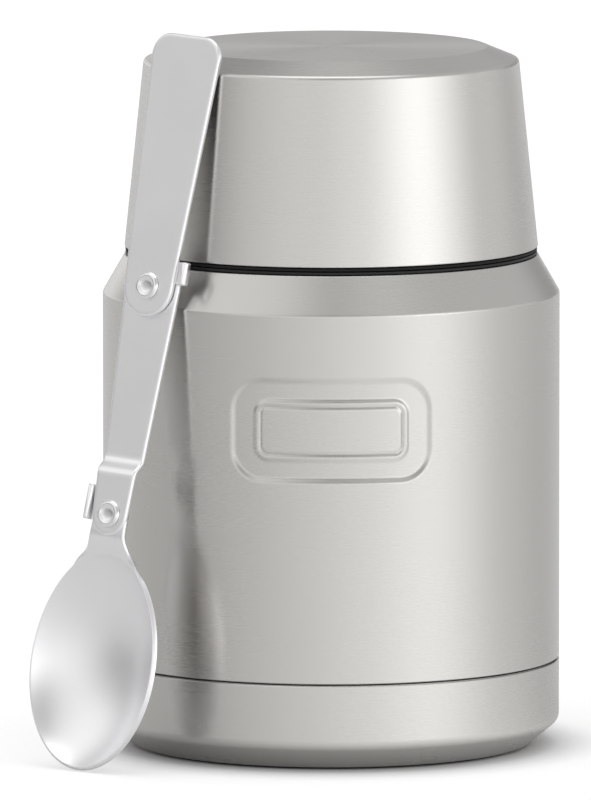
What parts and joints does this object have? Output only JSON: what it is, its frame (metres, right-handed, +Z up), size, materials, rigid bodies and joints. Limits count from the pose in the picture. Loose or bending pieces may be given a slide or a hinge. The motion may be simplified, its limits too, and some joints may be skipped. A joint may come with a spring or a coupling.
{
  "type": "insulated food jar",
  "caption": "Wide-mouth vacuum food jar with a push-button stopper, a screw lid that doubles as a bowl, and a folding spoon leaning on it.",
  "frame": {"origin": "centre of the jar's foot, on the surface it stands on", "axes": "+Z up the jar's axis, -Y towards the pictured front, +X to its right"},
  "size_m": [0.11, 0.0998, 0.1509],
  "materials": {
    "satin_steel": "brushed satin",
    "liner_steel": "satin",
    "foil": "thin bright foil",
    "getter_alloy": "sintered",
    "sealing_glass": "dark fused glass",
    "foot_rubber": "matt",
    "black_plastic": "fine matt",
    "grey_plastic": "fine matt",
    "white_foam": "foam",
    "seal_silicone": "soft satin",
    "black_rubber": "matt",
    "bowl_plastic": "fine matt",
    "spring_steel": "drawn wire",
    "spoon_steel": "fine satin",
    "rivet_steel": "bright"
  },
  "bodies": {
    "jar": {"outer_shell": "satin_steel", "base_cup": "satin_steel", "vacuum_bead": "sealing_glass", "base_pad": "foot_rubber", "inner_liner": "liner_steel", "foil_wrap": "foil", "getter": "getter_alloy"},
    "mouth_gasket": {"stopper_seal": "seal_silicone"},
    "stopper": {"stopper_body": "black_plastic", "stopper_plug": "black_plastic", "plug_insulation": "white_foam", "button_spring": "spring_steel"},
    "vent_button": {"release_button": "grey_plastic", "vent_valve": "seal_silicone"},
    "rim_gasket": {"lid_seal": "black_rubber"},
    "lid": {"lid_shell": "satin_steel", "lid_liner": "bowl_plastic"},
    "spoon": {"spoon_bowl": "spoon_steel", "link_rivet": "rivet_steel"},
    "link": {"spoon_link": "spoon_steel", "handle_rivet": "rivet_steel"},
    "handle": {"spoon_handle": "spoon_steel"}
  },
  "joints": [
    {"name": "stopper_lift", "type": "slide", "parent": "jar", "child": "mouth_gasket", "axis": [0.1421, 0.1852, 0.9724], "range_m": [0, 0.05]},
    {"name": "stopper_turn", "type": "hinge", "parent": "mouth_gasket", "child": "stopper", "pos_m": [0, 0, 0.11], "axis": [0, 0, 1], "range_deg": [0, 360]},
    {"name": "button_press", "type": "slide", "parent": "stopper", "child": "vent_button", "axis": [0, 0, -1], "range_m": [0, 0.002], "stiffness_N_per_m": 400, "springref_m": -0.003, "deforming": ["button_spring"]},
    {"name": "lid_lift", "type": "slide", "parent": "mouth_gasket", "child": "rim_gasket", "axis": [0.1421, 0.1852, 0.9724], "range_m": [0, 0.06]},
    {"name": "lid_turn", "type": "hinge", "parent": "rim_gasket", "child": "lid", "pos_m": [0, 0, 0.12], "axis": [0, 0, 1], "range_deg": [0, 360]},
    {"name": "spoon_take", "type": "slide", "parent": "jar", "child": "spoon", "axis": [-0.5272, -0.6871, 0.5], "range_m": [0, 0.1]},
    {"name": "link_fold", "type": "hinge", "parent": "spoon", "child": "link", "pos_m": [-0.04425, -0.03919, 0.05261], "axis": [-0.5948, -0.7751, 0.213], "range_deg": [-180, 0]},
    {"name": "handle_fold", "type": "hinge", "parent": "link", "child": "handle", "pos_m": [-0.03655, -0.0323, 0.09918], "axis": [-0.5948, -0.7751, 0.213], "range_deg": [-8, 155]}
  ]
}
